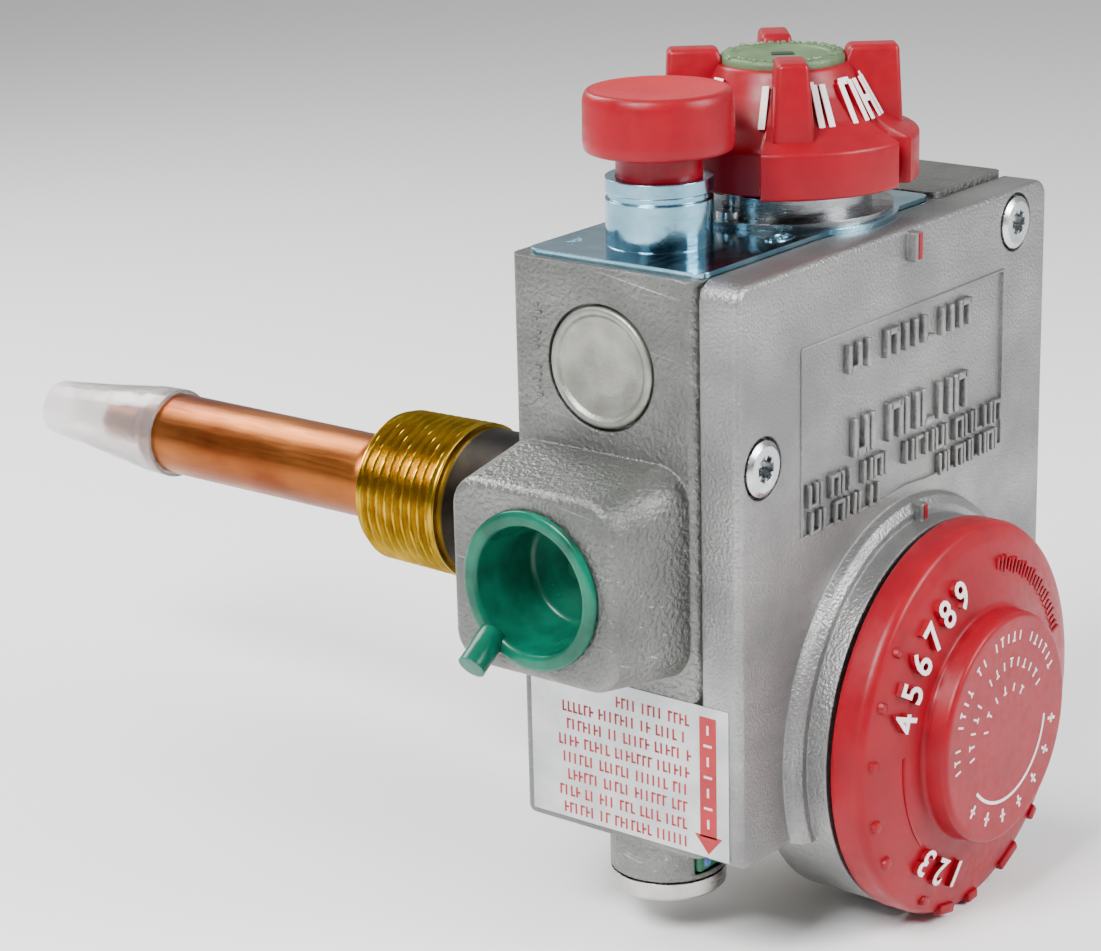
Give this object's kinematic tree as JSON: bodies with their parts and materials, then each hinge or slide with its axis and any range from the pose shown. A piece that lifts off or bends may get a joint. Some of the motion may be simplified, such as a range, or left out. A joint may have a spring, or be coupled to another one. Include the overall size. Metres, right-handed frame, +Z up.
{
  "type": "gas valve",
  "caption": "Combination gas valve of a storage water heater: cast body, reset button, gas cock knob, temperature dial, plugged side inlet and threaded shank with rod-and-tube sensor.",
  "frame": {"origin": "on the axis of the tank shank, at the hand-tight plane of its thread", "axes": "+X to the right along the front cover, +Y along the shank into the tank, +Z up"},
  "size_m": [0.1081, 0.1918, 0.1338],
  "materials": {
    "cast_body": "as cast, shot blasted",
    "cast_cover": "shot blasted",
    "gasket": "matt fibre sheet",
    "zinc_screws": "zinc plated",
    "zinc_plate": "bright zinc plated",
    "seal_rubber": "matt",
    "spring_steel": "drawn wire and strip",
    "turned_steel": "turned",
    "copper_wire": "enamelled copper",
    "bright_neck": "turned bright",
    "bonnet_steel": "zinc plated",
    "brass_shank": "turned",
    "copper_tube": "drawn copper",
    "lead_insulation": "matt",
    "screen_steel": "woven wire",
    "filter_felt": "felt",
    "brass_outlet": "machined",
    "label_foil": "printed foil",
    "red_button": "moulded gloss",
    "red_knob": "moulded gloss",
    "sage_insert": "moulded",
    "cock_brass": "lapped and greased",
    "red_dial": "moulded gloss",
    "red_cap": "moulded gloss",
    "rod_alloy": "low-expansion nickel steel",
    "valve_aluminium": "turned",
    "green_plug": "moulded",
    "clear_sleeve": "clear",
    "connector_plastic": "moulded"
  },
  "bodies": {
    "valve_body": {"body_casting": "cast_body", "front_cover": "cast_cover", "cover_gasket": "gasket", "cover_screws": "zinc_screws", "top_plate": "zinc_plate", "plate_screws": "zinc_screws", "rod_seal": "seal_rubber", "seal_retainer": "spring_steel", "reset_spring": "spring_steel", "safety_seat": "turned_steel", "safety_spring": "spring_steel", "magnet_can": "turned_steel", "magnet_core": "turned_steel", "magnet_coil": "copper_wire", "magnet_base": "bright_neck", "neck_nut": "bright_neck", "cock_bonnet": "bonnet_steel", "stop_pin": "turned_steel", "clicker_frame": "zinc_plate", "valve_plate": "zinc_plate", "snap_disc": "spring_steel", "main_valve_spring": "spring_steel", "tank_shank": "brass_shank", "sensing_tube": "copper_tube", "cut_off_link": "copper_wire", "link_leads": "lead_insulation", "inlet_screen": "screen_steel", "side_plug": "zinc_plate", "pilot_filter": "filter_felt", "burner_outlet": "brass_outlet", "pilot_outlet": "brass_outlet", "foil_label": "label_foil"},
    "reset_button": {"reset_button": "red_button", "push_rod": "turned_steel"},
    "safety_valve": {"safety_disc": "seal_rubber", "armature": "turned_steel"},
    "gas_cock": {"gas_cock_knob": "red_knob", "knob_insert": "sage_insert", "cock_stem": "turned_steel", "cock_plug": "cock_brass", "cock_spring": "spring_steel"},
    "dial": {"temperature_dial": "red_dial", "dial_cap": "red_cap"},
    "adjusting_screw": {"adjusting_screw": "turned_steel"},
    "sensing_rod": {"sensing_rod": "rod_alloy"},
    "lever": {"thermostat_lever": "spring_steel"},
    "main_valve": {"main_valve": "valve_aluminium"},
    "inlet_plug": {"inlet_plug": "green_plug"},
    "tube_guard": {"tube_guard": "clear_sleeve"},
    "wire_connector": {"wire_connector": "connector_plastic"}
  },
  "joints": [
    {"name": "button_press", "type": "slide", "parent": "valve_body", "child": "reset_button", "axis": [0, 0, -1], "range_m": [0, 0.0035], "stiffness_N_per_m": 400, "springref_m": -0.002, "deforming": ["reset_spring"]},
    {"name": "safety_valve_lift", "type": "slide", "parent": "valve_body", "child": "safety_valve", "axis": [0, 0, -1], "range_m": [0, 0.0035], "deforming": ["safety_spring"]},
    {"name": "gas_cock_turn", "type": "hinge", "parent": "valve_body", "child": "gas_cock", "pos_m": [0.014, -0.0591, 0.053], "axis": [0, 0, 1], "range_deg": [-90, 90]},
    {"name": "dial_turn", "type": "hinge", "parent": "valve_body", "child": "dial", "pos_m": [0.0152, -0.081, -0.0245], "axis": [0, 1, 0], "range_deg": [0, 290]},
    {"name": "screw_advance", "type": "slide", "parent": "dial", "child": "adjusting_screw", "axis": [0, 1, 0], "range_m": [0, 0.00065]},
    {"name": "rod_travel", "type": "slide", "parent": "valve_body", "child": "sensing_rod", "axis": [0, 1, 0], "range_m": [-0.0005, 0.0005], "stiffness_N_per_m": 600},
    {"name": "lever_tilt", "type": "hinge", "parent": "valve_body", "child": "lever", "pos_m": [0.0152, -0.0596, -0.0245], "axis": [0.8497, 0, 0.5272], "range_deg": [-1.1, 1.1]},
    {"name": "main_valve_lift", "type": "slide", "parent": "valve_body", "child": "main_valve", "axis": [0, -1, 0], "range_m": [0, 0.0015], "stiffness_N_per_m": 250, "springref_m": -0.002, "deforming": ["main_valve_spring", "snap_disc"]},
    {"name": "inlet_plug_pull", "type": "slide", "parent": "valve_body", "child": "inlet_plug", "axis": [-1, 0, 0], "range_m": [0, 0.025]},
    {"name": "tube_guard_pull", "type": "slide", "parent": "valve_body", "child": "tube_guard", "axis": [0, 1, 0], "range_m": [0, 0.038]},
    {"name": "wire_connector_pull", "type": "slide", "parent": "valve_body", "child": "wire_connector", "axis": [0, -1, 0], "range_m": [0, 0.007]}
  ],
  "couplings": [
    {"joint": "safety_valve_lift", "follows": "button_press", "ratio": 1},
    {"joint": "screw_advance", "follows": "dial_turn", "m_per_rad": 0.0001185},
    {"joint": "lever_tilt", "follows": "rod_travel", "rad_per_m": -34.68}
  ]
}
